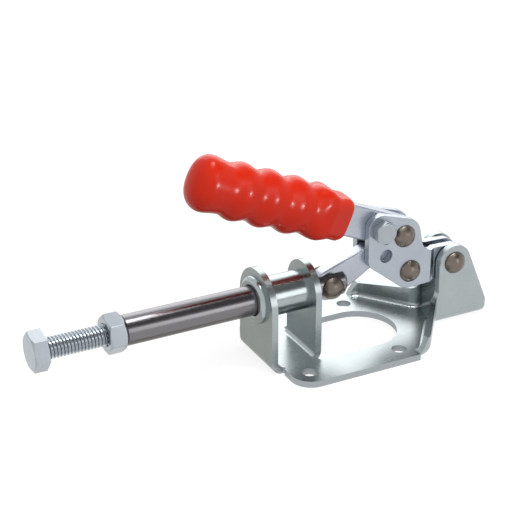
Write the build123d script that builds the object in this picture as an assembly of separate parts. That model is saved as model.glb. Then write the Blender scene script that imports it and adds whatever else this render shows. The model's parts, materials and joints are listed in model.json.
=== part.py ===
from build123d import *

# Push-pull toggle clamp, in millimetres.
#
# Frame: the origin is the centre of the four mounting holes, on the underside of the base.
# +Z is up, the plunger slides along X in the plane Y = 0, and its working end points to -X.
# Left is the -Y side and right the +Y side, seen from the handle pivot towards the working end.
# The clamp is modelled pushed out and locked: the three link pivots lie on the plunger's axis.

import os
from math import acos, atan2, cos, pi, radians, sin, sqrt, tan

# ---- stamped base ----
SHEET = 2.5                 # thickness of the base sheet
BASE_WIDTH = 55.4
FRONT_CORNER_R = 7.8
SHOULDER_X = 28.0           # where the plate's sides start to run in towards the ears
SHOULDER_R = 7.0
BEND_R = 1.8                # inner radius of the uprights' bends
HOLE_SPACING_X = 38.0
HOLE_SPACING_Y = 41.0
MOUNT_HOLE_D = 5.6
WINDOW_WIDTH = 29.0         # opening stamped out of the plate
WINDOW_FRONT_X = -11.2      # front edge of the opening, beside the mid upright
WINDOW_ARC_X = 13.8         # centre of the opening's round rear end
WINDOW_CORNER_R = 1.5
RELIEF_R = 0.8              # relief notches at the foot of the front upright

# ---- uprights and guide sleeve ----
AXIS_HEIGHT = 25.4          # plunger axis above the underside
FRONT_UPRIGHT_X = -30.3     # front face
FRONT_UPRIGHT_WIDTH = 25.8
FRONT_UPRIGHT_TOP = 37.2
MID_UPRIGHT_X = -11.4       # front face
MID_UPRIGHT_WIDTH = 22.2
MID_UPRIGHT_TOP = 36.5
SLEEVE_D = 15.0
COLLAR_D = 18.0             # rolled collar in front of the front upright
COLLAR_LENGTH = 2.2
COLLAR_ROUND = 1.9
ROUND_STEPS = 2             # facets of the collar's rounding
MOUTH_CHAMFER = 0.4         # at the mouth of the sleeve's bore
SWAGE_D = 16.8              # swaged lip behind the mid upright
SWAGE_LENGTH = 1.2

# ---- ears (rear clevis folded up from the base sheet) ----
EAR_WIDTH = 14.8            # over both ears
EAR_TOP_R = 7.0
EAR_FRONT_X = 44.4          # front edge of the ears
EAR_REAR_X = 66.3           # rear end of the channel floor
EAR_REAR_SLOPE = 67.5       # degrees of the slanted rear edge above horizontal
EAR_FOLD_R = 1.9            # inner radius of the fold along wings and ears
EAR_CORNER_R = 4.0
WING_START_X = 24.0         # the low wings rise from here to the ears
WING_SHOULDER = (27.5, 8.0)  # x, height where the wings' steep start ends
WING_END_HEIGHT = 11.0
WING_REAR_X = 43.5          # the wings' run-in meets the ears here, in plan
WING_BLEND_R = 4.0          # plan radius between wing and ear

# ---- linkage ----
EAR_PIVOT_X = 51.0
CRANK_LENGTH = 19.0         # ear pivot to link pivot
LINK_LENGTH = 33.0          # link pivot to plunger pivot
LINK_THICKNESS = 5.5
LINK_END_R = 6.2            # round end at the plunger
LINK_PIVOT_R = 5.5          # round end between the side plates
LINK_KNEE = (17.5, 8.2)     # centre of the bend, from the plunger pivot
LINK_KNEE_R = 4.3
BAR_EDGE_CHAMFER = 0.6      # along the edges of link and handle bar
SIDE_GAP = 0.05             # running gap each side of the link

# ---- side plates ----
PLATE_THICKNESS = 3.0
TAIL_GAP = 3.0              # between the two plates at the ear pivot
JOGGLE_START = 9.9          # joggle, measured from the ear pivot
JOGGLE_END = 7.9
PLATE_PIVOT_R = 7.0         # round of the plates about the link pivot
PLATE_TAIL_R = 6.4          # round of the plates about the ear pivot
PLATE_RIVET_R = 7.0         # round of the plates about the plate rivet
TOP_CORNER_BACK = 32.6      # each corner's and hole's centre: ahead of the ear pivot, and above it
TOP_CORNER_UP = 20.5
TOP_CORNER_R = 4.9
LOW_CORNER_BACK = 32.5
LOW_CORNER_UP = 8.2
LOW_CORNER_R = 5.0
NECK_BACK = 15.0            # near the crook between lobe and tail
NECK_UP = 6.6
PLATE_NECK_R = 5.0
PLATE_RIVET_BACK = 22.0
PLATE_RIVET_UP = 15.0
SPARE_HOLE_BACK = 29.8
SPARE_HOLE_UP = 8.4
SPARE_HOLE_D = 5.2

# ---- handle ----
HANDLE_ANGLE = 23.5         # degrees that the handle rises from the plate rivet to the grip
BOLT_OFFSET = 10.7          # bolt from the rivet, along the bar
BAR_WIDTH = 12.5
BAR_THICKNESS = LINK_THICKNESS
BAR_LENGTH = 80.0           # from the rivet into the grip
GRIP_REAR = (25.5, 7.5)     # grip's rear edge: distance from the rivet, half-height
GRIP_LIP = (28.2, 8.6)      # low ridge at the rear edge
GRIP_NECK = (33.0, 8.3)
GRIP_FIRST_CREST = (39.8, 10.2)
GRIP_CREST_R = 10.8
GRIP_VALLEY_R = 9.0
GRIP_PITCH = 11.5
GRIP_RIDGES = 4             # beyond the first crest, the bulb included
GRIP_BULB = (86.0, 10.4)    # place and half-height of the bulb
GRIP_END = 92.8
GRIP_TIP_R = 2.5            # small flat at the very end
WAVE_STEPS = 3              # facets from a crest to a valley
NOSE_STEPS = 4
GRIP_WIDTH_SHARE = 0.8      # width over height of the grip's section
GRIP_CHEEK_Y = 5.5          # flat cheeks: half-width at the rear edge
GRIP_CHEEK_END = 44.0       # the cheeks' planes reach the crests' half-height here

# ---- plunger and spindle ----
ROD_D = 11.1
ROD_FRONT_X = -83.1
ROD_REAR_OVERHANG = 6.8     # rod behind the plunger pivot
ROD_FRONT_CHAMFER = 0.8
ROD_REAR_CHAMFER = 1.4
SLOT_WIDTH = 6.1
SLOT_DEPTH = 14.0           # fork slot ahead of the plunger pivot
THREAD_D = 7.9              # over the crests of the spindle thread
SPINDLE_LENGTH = 50.0
SPINDLE_SHOWN = 22.2        # thread between the head and the jam nut
HEX_FLATS = 13.0
HEX_CHAMFER_SHARE = 0.95    # a chamfer's circle on the end face, as a share of the flats
HEX_CORNER_SHARE = 1.2      # a circle a little beyond the hexagon's corners, as a share of the flats
HEX_CHAMFER_ANGLE = 30.0    # degrees
HEX_HEAD_HEIGHT = 5.3
HEX_HEAD_TURN = 21.0        # degrees
JAM_NUT_HEIGHT = 6.5
JAM_NUT_TURN = 15.0
TAPPED_DEPTH = 41.0
SPINDLE_TIP_CHAMFER = 1.0

# ---- rivets, bush, handle bolt ----
RIVET_HEAD_D = 8.7
RIVET_HEAD_HEIGHT = 3.0
DOME_STEPS = 3              # facets of a rivet head, from its middle to its edge
RIVET_SHANK_D = 5.0
PLUNGER_RIVET_SEAT = 5.2    # spot faces on the fork, from the middle plane
SPOT_FACE_D = 9.0
EAR_RIVET_SHANK_D = 6.0
BUSH_D = 8.0
BOLT_D = 5.0
BOLT_FLATS = 8.0
BOLT_HEAD_HEIGHT = 3.5
BOLT_NUT_HEIGHT = 4.0
BOLT_TURN = 44.0
BOLT_TIP = 1.2              # bolt end beyond its nut
BOLT_TIP_CHAMFER = 0.6
LOCK_WASHER_D = 9.2
LOCK_WASHER_THICKNESS = 1.2
LOCK_WASHER_SPLIT = 0.8

# ---- clearances, each on the radius ----
RUNNING = 0.05              # pins and the plunger in their bores
SEATED = 0.02               # fixed parts in their holes

# ---- places worked out from the sizes above ----
EAR_PIVOT = (EAR_PIVOT_X, AXIS_HEIGHT)
LINK_PIVOT_X = EAR_PIVOT_X - CRANK_LENGTH
LINK_PIVOT = (LINK_PIVOT_X, AXIS_HEIGHT)
PLUNGER_PIVOT_X = LINK_PIVOT_X - LINK_LENGTH
PLUNGER_PIVOT = (PLUNGER_PIVOT_X, AXIS_HEIGHT)
PLATE_FRONT_X = FRONT_UPRIGHT_X + SHEET + BEND_R        # flat plate's front edge
MID_FOOT_X = MID_UPRIGHT_X - BEND_R                     # the mid upright bends up from here
PLATE_INNER_Y = LINK_THICKNESS / 2 + SIDE_GAP
PLATE_OUTER_Y = PLATE_INNER_Y + PLATE_THICKNESS
TAIL_OUTER_Y = TAIL_GAP / 2 + PLATE_THICKNESS
PLATE_TOP_CORNER = (EAR_PIVOT_X - TOP_CORNER_BACK, AXIS_HEIGHT + TOP_CORNER_UP)
PLATE_LOW_CORNER = (EAR_PIVOT_X - LOW_CORNER_BACK, AXIS_HEIGHT + LOW_CORNER_UP)
PLATE_NECK = (EAR_PIVOT_X - NECK_BACK, AXIS_HEIGHT + NECK_UP)
PLATE_RIVET = (EAR_PIVOT_X - PLATE_RIVET_BACK, AXIS_HEIGHT + PLATE_RIVET_UP)
SPARE_HOLE = (EAR_PIVOT_X - SPARE_HOLE_BACK, AXIS_HEIGHT + SPARE_HOLE_UP)
HANDLE_DIR = (-cos(radians(HANDLE_ANGLE)), sin(radians(HANDLE_ANGLE)))
HANDLE_BOLT = tuple(p + BOLT_OFFSET * d for p, d in zip(PLATE_RIVET, HANDLE_DIR))
SPINDLE_SEAT_X = ROD_FRONT_X - JAM_NUT_HEIGHT - SPINDLE_SHOWN
PLUNGER_LINE = Axis((0, 0, AXIS_HEIGHT), (1, 0, 0))
REACH = 200.0               # longer than anything that it cuts
TOUCH = 0.01                # how near counts as at the same place


def across(sketch, y_from, y_to):
    """Solid of an X-Z sketch between two Y values."""
    plane = Plane(origin=(0, y_from, 0), x_dir=(1, 0, 0), z_dir=(0, -1, 0))
    return extrude(plane * sketch, amount=y_from - y_to)


def turned(points):
    """Body turned about the plunger's axis from (x, radius) points."""
    outline = [(x, AXIS_HEIGHT + r) for x, r in points]
    return revolve(Plane.XZ * make_face(Polyline(*outline, close=True)), axis=PLUNGER_LINE)


def turned_across(centre, face):
    """Body turned about a line along Y through centre, from a face drawn as (radius, y)."""
    x, z = centre
    return Pos(x, 0, z) * Rot(-90, 0, 0) * revolve(Plane.XZ * face, axis=Axis.Z)


def tapered_bar(a, radius_a, b, radius_b):
    """Sketch of two circles joined by their outer tangents."""
    length = sqrt((b[0] - a[0]) ** 2 + (b[1] - a[1]) ** 2)
    heading = atan2(b[1] - a[1], b[0] - a[0])
    lean = acos((radius_a - radius_b) / length)
    corners = []
    for (x, z), radius, side in ((a, radius_a, 1), (b, radius_b, 1), (b, radius_b, -1), (a, radius_a, -1)):
        angle = heading + side * lean
        corners.append((x + radius * cos(angle), z + radius * sin(angle)))
    web = make_face(Polyline(*corners, close=True))
    return web + Pos(*a) * Circle(radius_a) + Pos(*b) * Circle(radius_b)


def hole_across(centre, radius):
    """Cutter for a hole along Y."""
    return across(Pos(*centre) * Circle(radius), REACH, -REACH)


def hexagon(flats, low, high, turn, chamfered):
    """Hexagon about Z between two heights; chamfered lists the heights with a 30 degree chamfer."""
    hexa = RegularPolygon(radius=flats / 2, side_count=6, major_radius=False, rotation=turn)
    end_r = HEX_CHAMFER_SHARE * flats / 2
    corner_r = HEX_CORNER_SHARE * flats / 2
    drop = (corner_r - end_r) * tan(radians(HEX_CHAMFER_ANGLE))
    points = [(0, low)]
    points += [(end_r, low), (corner_r, low + drop)] if low in chamfered else [(corner_r, low)]
    points += [(corner_r, high - drop), (end_r, high)] if high in chamfered else [(corner_r, high)]
    points += [(0, high)]
    body = extrude(Pos(0, 0, low) * hexa, amount=high - low)
    return body & revolve(Plane.XZ * make_face(Polyline(*points, close=True)), axis=Axis.Z)


def hexagon_along(flats, x_from, x_to, turn, chamfered):
    """Hexagon about the plunger's axis."""
    return Pos(0, 0, AXIS_HEIGHT) * Rot(0, 90, 0) * hexagon(flats, x_from, x_to, turn, chamfered)


def hexagon_across(centre, flats, y_from, y_to, turn, chamfered):
    """Hexagon along Y."""
    x, z = centre
    return Pos(x, 0, z) * Rot(-90, 0, 0) * hexagon(flats, y_from, y_to, turn, chamfered)


def plate_outline(rear_x):
    """Plan of the base: wide plate, sides that run in, narrow channel to rear_x."""
    half = BASE_WIDTH / 2
    ear = EAR_WIDTH / 2
    side = [(PLATE_FRONT_X, half), (SHOULDER_X, half), (WING_REAR_X, ear), (rear_x, ear)]
    points = [(x, -y) for x, y in side] + [(x, y) for x, y in reversed(side)]
    outline = make_face(Polyline(*points, close=True))
    columns = outline.vertices().group_by(Axis.X)
    outline = fillet(columns[0], FRONT_CORNER_R)
    outline = fillet(outline.vertices().filter_by(lambda v: abs(v.X - SHOULDER_X) < TOUCH), SHOULDER_R)
    blend = outline.vertices().filter_by(lambda v: abs(v.X - WING_REAR_X) < TOUCH)
    return fillet(blend, WING_BLEND_R)


def ear_profile():
    """Side view of wings, ears and channel floor."""
    slope = radians(EAR_REAR_SLOPE)
    x, z = EAR_PIVOT
    rear_tangent = (x + EAR_TOP_R * sin(slope), z + EAR_TOP_R * cos(slope))
    corner_z = rear_tangent[1] - (EAR_REAR_X - rear_tangent[0]) * sin(slope) / cos(slope)
    points = [(WING_START_X, 0), (WING_START_X, SHEET), WING_SHOULDER, (EAR_FRONT_X, WING_END_HEIGHT),
              (x - EAR_TOP_R, z), (x, z), rear_tangent, (EAR_REAR_X, corner_z), (EAR_REAR_X, 0)]
    side = make_face(Polyline(*points, close=True))
    crook = side.vertices().filter_by(lambda v: abs(v.Y - WING_END_HEIGHT) < TOUCH)
    side = fillet(crook, WING_BLEND_R)
    heel = side.vertices().filter_by(lambda v: abs(v.Y - corner_z) < TOUCH)
    side = fillet(heel, EAR_CORNER_R)
    return side + Pos(x, z) * Circle(EAR_TOP_R)


def folded_rear():
    """Wings, ears and channel floor, folded from one sheet."""
    plan = plate_outline(EAR_REAR_X + 3 * SHEET)
    height = AXIS_HEIGHT + EAR_TOP_R + SHEET
    outside = extrude(plan, amount=height)
    outside = fillet(outside.faces().sort_by(Axis.Z)[0].edges(), EAR_FOLD_R + SHEET)
    inside = extrude(Pos(0, 0, SHEET) * offset(plan, -SHEET), amount=height)
    inside = fillet(inside.faces().sort_by(Axis.Z)[0].edges(), EAR_FOLD_R)
    tray = outside - inside
    return tray & across(ear_profile(), REACH, -REACH)


def upright(foot_x, face_x, width, top):
    """Tab bent up from the plate at foot_x; face_x is its face on the outer side of the bend."""
    way = 1 if face_x > foot_x else -1
    outer_r = BEND_R + SHEET
    inner_x = face_x - way * SHEET
    turn = 1 / sqrt(2)
    outer_mid = (foot_x + way * outer_r * turn, outer_r * (1 - turn))
    inner_mid = (foot_x + way * BEND_R * turn, outer_r - BEND_R * turn)
    side = make_face([
        Line((foot_x, SHEET), (foot_x, 0)),
        ThreePointArc((foot_x, 0), outer_mid, (face_x, outer_r)),
        Line((face_x, outer_r), (face_x, top)),
        Line((face_x, top), (inner_x, top)),
        Line((inner_x, top), (inner_x, outer_r)),
        ThreePointArc((inner_x, outer_r), inner_mid, (foot_x, SHEET)),
    ])
    shape = Pos(0, top - width / 2) * Circle(width / 2)
    shape += Pos(0, (top - width / 2) / 2) * Rectangle(width, top - width / 2)
    front_view = Plane(origin=(-REACH, 0, 0), x_dir=(0, 1, 0), z_dir=(1, 0, 0)) * shape
    return across(side, width, -width) & extrude(front_view, amount=2 * REACH)


def make_base():
    """One stamped sheet: plate, two uprights, wings and ears."""
    flat = extrude(plate_outline(EAR_REAR_X) & Pos(-REACH / 2 + WING_START_X, 0) * Rectangle(REACH, REACH),
                   amount=SHEET)
    window = Pos((WINDOW_FRONT_X + WINDOW_ARC_X) / 2, 0) * Rectangle(WINDOW_ARC_X - WINDOW_FRONT_X, WINDOW_WIDTH)
    window = fillet(window.vertices().group_by(Axis.X)[0], WINDOW_CORNER_R)
    window += Pos(WINDOW_ARC_X, 0) * Circle(WINDOW_WIDTH / 2)
    bend = Pos(MID_FOOT_X + WINDOW_WIDTH / 4, 0) * Rectangle(WINDOW_WIDTH / 2, MID_UPRIGHT_WIDTH)
    cutters = extrude(window + bend, amount=SHEET)
    for sx in (-1, 1):
        for sy in (-1, 1):
            spot = Pos(sx * HOLE_SPACING_X / 2, sy * HOLE_SPACING_Y / 2)
            cutters += extrude(spot * Circle(MOUNT_HOLE_D / 2), amount=SHEET)
    for side in (-1, 1):
        spot = Pos(PLATE_FRONT_X, side * (FRONT_UPRIGHT_WIDTH / 2 + RELIEF_R))
        cutters += extrude(spot * Circle(RELIEF_R), amount=SHEET)
    body = flat + folded_rear() - cutters
    body += upright(PLATE_FRONT_X, FRONT_UPRIGHT_X, FRONT_UPRIGHT_WIDTH, FRONT_UPRIGHT_TOP)
    body += upright(MID_FOOT_X, MID_UPRIGHT_X + SHEET, MID_UPRIGHT_WIDTH, MID_UPRIGHT_TOP)
    sleeve_hole = [(FRONT_UPRIGHT_X - SHEET, 0), (FRONT_UPRIGHT_X - SHEET, SLEEVE_D / 2 + SEATED),
                   (MID_UPRIGHT_X + 2 * SHEET, SLEEVE_D / 2 + SEATED), (MID_UPRIGHT_X + 2 * SHEET, 0)]
    body -= turned(sleeve_hole)
    return body - hole_across(EAR_PIVOT, EAR_RIVET_SHANK_D / 2 + SEATED)


def make_sleeve():
    """Guide sleeve through both uprights, with a rolled collar and a swaged lip."""
    bore = ROD_D / 2 + RUNNING
    front = FRONT_UPRIGHT_X - COLLAR_LENGTH
    back = MID_UPRIGHT_X + SHEET
    flat_r = COLLAR_D / 2 - COLLAR_ROUND
    collar = []
    for step in range(ROUND_STEPS + 1):
        turn = pi / 2 * step / ROUND_STEPS
        collar.append((front + COLLAR_ROUND * (1 - cos(turn)), flat_r + COLLAR_ROUND * sin(turn)))
    points = [(front + MOUTH_CHAMFER, bore), (front, bore + MOUTH_CHAMFER), *collar,
              (FRONT_UPRIGHT_X, COLLAR_D / 2), (FRONT_UPRIGHT_X, SLEEVE_D / 2), (back, SLEEVE_D / 2),
              (back, SWAGE_D / 2), (back + SWAGE_LENGTH, SWAGE_D / 2 - SWAGE_LENGTH / 2), (back + SWAGE_LENGTH, bore)]
    return turned(points)


def make_plunger():
    """Round rod, tapped at the front and forked at the rear."""
    r = ROD_D / 2
    rear = PLUNGER_PIVOT_X + ROD_REAR_OVERHANG
    body = turned([(ROD_FRONT_X, 0), (ROD_FRONT_X, r - ROD_FRONT_CHAMFER), (ROD_FRONT_X + ROD_FRONT_CHAMFER, r),
                   (rear - ROD_REAR_CHAMFER, r), (rear, r - ROD_REAR_CHAMFER), (rear, 0)])
    tap_r = THREAD_D / 2 + RUNNING
    body -= turned([(ROD_FRONT_X, 0), (ROD_FRONT_X, tap_r), (ROD_FRONT_X + TAPPED_DEPTH, tap_r),
                    (ROD_FRONT_X + TAPPED_DEPTH + tap_r / 2, 0)])
    slot_front = PLUNGER_PIVOT_X - SLOT_DEPTH
    slot = Pos((slot_front + REACH) / 2, AXIS_HEIGHT) * Rectangle(REACH - slot_front, ROD_D)
    body -= across(slot, SLOT_WIDTH / 2, -SLOT_WIDTH / 2)
    spot_face = Pos(*PLUNGER_PIVOT) * Circle(SPOT_FACE_D / 2)
    body -= across(spot_face, ROD_D, PLUNGER_RIVET_SEAT)
    body -= across(spot_face, -PLUNGER_RIVET_SEAT, -ROD_D)
    return body - hole_across(PLUNGER_PIVOT, RIVET_SHANK_D / 2 + SEATED)


def make_spindle():
    """Hexagon-headed screw in the plunger's front end."""
    front = SPINDLE_SEAT_X - HEX_HEAD_HEIGHT
    head = hexagon_along(HEX_FLATS, front, SPINDLE_SEAT_X, HEX_HEAD_TURN, [front])
    r = THREAD_D / 2
    tip = SPINDLE_SEAT_X + SPINDLE_LENGTH
    shank = turned([(SPINDLE_SEAT_X, 0), (SPINDLE_SEAT_X, r), (tip - SPINDLE_TIP_CHAMFER, r),
                    (tip, r - SPINDLE_TIP_CHAMFER), (tip, 0)])
    return head + shank


def make_jam_nut():
    """Nut that locks the spindle against the plunger's front end."""
    front = ROD_FRONT_X - JAM_NUT_HEIGHT
    body = hexagon_along(HEX_FLATS, front, ROD_FRONT_X, JAM_NUT_TURN, [front, ROD_FRONT_X])
    bore = THREAD_D / 2 + RUNNING
    return body - turned([(front, 0), (front, bore), (ROD_FRONT_X, bore), (ROD_FRONT_X, 0)])


def make_rivet(centre, shank_d, half_length):
    """Rivet along Y with a round head at each end."""
    head_r = RIVET_HEAD_D / 2
    sphere_r = (head_r ** 2 + RIVET_HEAD_HEIGHT ** 2) / (2 * RIVET_HEAD_HEIGHT)
    arc = atan2(head_r, sphere_r - RIVET_HEAD_HEIGHT)
    top = half_length + RIVET_HEAD_HEIGHT
    head = []
    for step in range(DOME_STEPS + 1):
        turn = arc * step / DOME_STEPS
        head.append((sphere_r * sin(turn), top - sphere_r * (1 - cos(turn))))
    right = head + [(shank_d / 2, half_length)]
    left = [(r, -y) for r, y in reversed(right)]
    return turned_across(centre, make_face(Polyline(*right, *left, close=True)))


def make_plunger_rivet():
    """The plunger rivet's two ends, each in its own cheek of the fork; the slot between stays open."""
    body = make_rivet(PLUNGER_PIVOT, RIVET_SHANK_D, PLUNGER_RIVET_SEAT)
    slot = Pos(*PLUNGER_PIVOT) * Rectangle(3 * RIVET_HEAD_D, 3 * RIVET_HEAD_D)
    return body - across(slot, SLOT_WIDTH / 2, -SLOT_WIDTH / 2)


def make_link():
    """Bent bar from the plunger's fork to the pivot between the side plates."""
    knee = (PLUNGER_PIVOT_X + LINK_KNEE[0], AXIS_HEIGHT + LINK_KNEE[1])
    shape = tapered_bar(PLUNGER_PIVOT, LINK_END_R, knee, LINK_KNEE_R)
    shape += tapered_bar(knee, LINK_KNEE_R, LINK_PIVOT, LINK_PIVOT_R)
    body = across(shape, LINK_THICKNESS / 2, -LINK_THICKNESS / 2)
    rim = body.faces().sort_by(Axis.Y)
    body = chamfer(rim[0].edges() + rim[-1].edges(), BAR_EDGE_CHAMFER)
    for pivot in (PLUNGER_PIVOT, LINK_PIVOT):
        body -= hole_across(pivot, RIVET_SHANK_D / 2 + RUNNING)
    return body


def make_side_plate(side):
    """Side plate of the handle; side is -1 for the left plate and 1 for the right one."""
    top = PLATE_TOP_CORNER
    low = PLATE_LOW_CORNER
    lobe = tapered_bar(top, TOP_CORNER_R, PLATE_RIVET, PLATE_RIVET_R)
    lobe += tapered_bar(top, TOP_CORNER_R, low, LOW_CORNER_R)
    lobe += tapered_bar(low, LOW_CORNER_R, LINK_PIVOT, PLATE_PIVOT_R)
    lobe += tapered_bar(PLATE_RIVET, PLATE_RIVET_R, LINK_PIVOT, PLATE_PIVOT_R)
    lobe += make_face(Polyline(top, PLATE_RIVET, LINK_PIVOT, low, close=True))
    shape = lobe + tapered_bar(LINK_PIVOT, PLATE_PIVOT_R, EAR_PIVOT, PLATE_TAIL_R)
    neck = shape.vertices().sort_by_distance((*PLATE_NECK, 0))[0]
    shape = fillet([neck], PLATE_NECK_R)
    prism = across(shape, REACH, -REACH)
    start = EAR_PIVOT_X - JOGGLE_START
    end = EAR_PIVOT_X - JOGGLE_END
    strip = make_face(Polyline(
        (-REACH, side * PLATE_INNER_Y), (start, side * PLATE_INNER_Y), (end, side * TAIL_GAP / 2),
        (REACH, side * TAIL_GAP / 2), (REACH, side * TAIL_OUTER_Y), (end, side * TAIL_OUTER_Y),
        (start, side * PLATE_OUTER_Y), (-REACH, side * PLATE_OUTER_Y), close=True))
    body = prism & extrude(strip, amount=REACH)
    for spot, radius in ((PLATE_RIVET, RIVET_SHANK_D / 2 + SEATED), (HANDLE_BOLT, BOLT_D / 2 + SEATED),
                         (LINK_PIVOT, RIVET_SHANK_D / 2 + SEATED), (SPARE_HOLE, SPARE_HOLE_D / 2),
                         (EAR_PIVOT, BUSH_D / 2 + RUNNING)):
        body -= hole_across(spot, radius)
    return body


def along_handle(distance):
    """Point on the bar's axis at a distance from the plate rivet."""
    return tuple(p + distance * d for p, d in zip(PLATE_RIVET, HANDLE_DIR))


def straight_bar(reach, width):
    """Side view of a bar with round ends, from the plate rivet along the handle."""
    near = PLATE_RIVET
    far = along_handle(reach - BAR_WIDTH / 2)
    middle = ((near[0] + far[0]) / 2, (near[1] + far[1]) / 2)
    return SlotCenterPoint(middle, far, width)


def make_handle_bar():
    """Flat bar between the side plates, running into the grip."""
    body = across(straight_bar(BAR_LENGTH, BAR_WIDTH), BAR_THICKNESS / 2, -BAR_THICKNESS / 2)
    rim = body.faces().sort_by(Axis.Y)
    body = chamfer(rim[0].edges() + rim[-1].edges(), BAR_EDGE_CHAMFER)
    body -= hole_across(PLATE_RIVET, RIVET_SHANK_D / 2 + SEATED)
    return body - hole_across(HANDLE_BOLT, BOLT_D / 2 + SEATED)


def grip_outline():
    """(distance, half-height) points of the grip from its rear edge to its tip: waves, then a round nose."""
    extremes = [GRIP_REAR, GRIP_LIP, GRIP_NECK, GRIP_FIRST_CREST]
    for i in range(GRIP_RIDGES):
        crest = GRIP_FIRST_CREST[0] + (i + 1) * GRIP_PITCH
        extremes.append((crest - GRIP_PITCH / 2, GRIP_VALLEY_R))
        extremes.append((crest, GRIP_CREST_R))
    extremes[-1] = GRIP_BULB
    points = [GRIP_REAR]
    for (x0, r0), (x1, r1) in zip(extremes[1:], extremes[2:]):
        for step in range(WAVE_STEPS):
            share = step / WAVE_STEPS
            points.append((x0 + share * (x1 - x0), r0 + (r1 - r0) * (1 - cos(pi * share)) / 2))
    nose_x = GRIP_END - GRIP_BULB[0]
    nose_z = GRIP_BULB[1] - GRIP_TIP_R
    for step in range(NOSE_STEPS + 1):
        turn = pi / 2 * step / NOSE_STEPS
        points.append((GRIP_BULB[0] + nose_x * sin(turn), GRIP_TIP_R + nose_z * cos(turn)))
    return points


def make_grip():
    """Moulded grip with finger ridges and a bulb at the end, over the handle bar."""
    rear_x = GRIP_REAR[0]
    outline = make_face(Polyline(*grip_outline(), (GRIP_END, 0), (rear_x, 0), close=True))
    body = scale(revolve(Plane.XZ * outline, axis=Axis.X), by=(1, GRIP_WIDTH_SHARE, 1))
    cheek = [(rear_x, GRIP_CHEEK_Y), (GRIP_CHEEK_END, GRIP_CREST_R), (GRIP_END, GRIP_CREST_R)]
    plan = make_face(Polyline(*cheek, *[(x, -y) for x, y in reversed(cheek)], close=True))
    body &= extrude(plan, amount=2 * GRIP_CREST_R, both=True)
    x, z = PLATE_RIVET
    body = Pos(x, 0, z) * Rot(0, 180 + HANDLE_ANGLE, 0) * body
    half = BAR_THICKNESS / 2 + SEATED
    return body - across(straight_bar(BAR_LENGTH + SEATED, BAR_WIDTH + 2 * SEATED), half, -half)


def make_handle_bolt():
    """Hexagon bolt through both side plates and the bar, head on the left."""
    seat = -PLATE_OUTER_Y
    top = seat - BOLT_HEAD_HEIGHT
    end = PLATE_OUTER_Y + LOCK_WASHER_THICKNESS + BOLT_NUT_HEIGHT + BOLT_TIP
    r = BOLT_D / 2
    shank = make_face(Polyline((0, seat), (r, seat), (r, end - BOLT_TIP_CHAMFER), (r - BOLT_TIP_CHAMFER, end),
                               (0, end), close=True))
    return hexagon_across(HANDLE_BOLT, BOLT_FLATS, top, seat, BOLT_TURN, [top]) + turned_across(HANDLE_BOLT, shank)


def make_lock_washer():
    """Split spring washer under the handle bolt's nut."""
    ring = Circle(LOCK_WASHER_D / 2) - Circle(BOLT_D / 2 + SEATED)
    ring -= Pos(0, LOCK_WASHER_D / 2) * Rectangle(LOCK_WASHER_SPLIT, LOCK_WASHER_D)
    return across(Pos(*HANDLE_BOLT) * ring, PLATE_OUTER_Y + LOCK_WASHER_THICKNESS, PLATE_OUTER_Y)


def make_handle_nut():
    """Nut of the handle bolt, on the lock washer at the right side plate."""
    seat = PLATE_OUTER_Y + LOCK_WASHER_THICKNESS
    top = seat + BOLT_NUT_HEIGHT
    body = hexagon_across(HANDLE_BOLT, BOLT_FLATS, seat, top, BOLT_TURN, [seat, top])
    return body - hole_across(HANDLE_BOLT, BOLT_D / 2 + SEATED)


def make_ear_bush():
    """Bush between the ears; the side plates turn on it."""
    gap = EAR_WIDTH / 2 - SHEET
    ring = Circle(BUSH_D / 2) - Circle(EAR_RIVET_SHANK_D / 2 + SEATED)
    return across(Pos(*EAR_PIVOT) * ring, gap, -gap)


def main():
    pieces = {
        "base_frame": make_base(),
        "guide_sleeve": make_sleeve(),
        "plunger": make_plunger(),
        "plunger_rivet": make_plunger_rivet(),
        "spindle_screw": make_spindle(),
        "jam_nut": make_jam_nut(),
        "link": make_link(),
        "link_rivet": make_rivet(LINK_PIVOT, RIVET_SHANK_D, PLATE_OUTER_Y),
        "side_plate_left": make_side_plate(-1),
        "side_plate_right": make_side_plate(1),
        "plate_rivet": make_rivet(PLATE_RIVET, RIVET_SHANK_D, PLATE_OUTER_Y),
        "handle_bar": make_handle_bar(),
        "handle_bolt": make_handle_bolt(),
        "lock_washer": make_lock_washer(),
        "handle_nut": make_handle_nut(),
        "grip": make_grip(),
        "ear_rivet": make_rivet(EAR_PIVOT, EAR_RIVET_SHANK_D, EAR_WIDTH / 2),
        "ear_bush": make_ear_bush(),
    }
    os.makedirs("parts", exist_ok=True)
    for name, shape in pieces.items():
        export_step(shape, f"parts/{name}.step")


main()
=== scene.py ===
"""Looks for the push-pull toggle clamp: plated sheet, plunger, rivets, threads, moulded grip and studio."""

import json
import math

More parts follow.
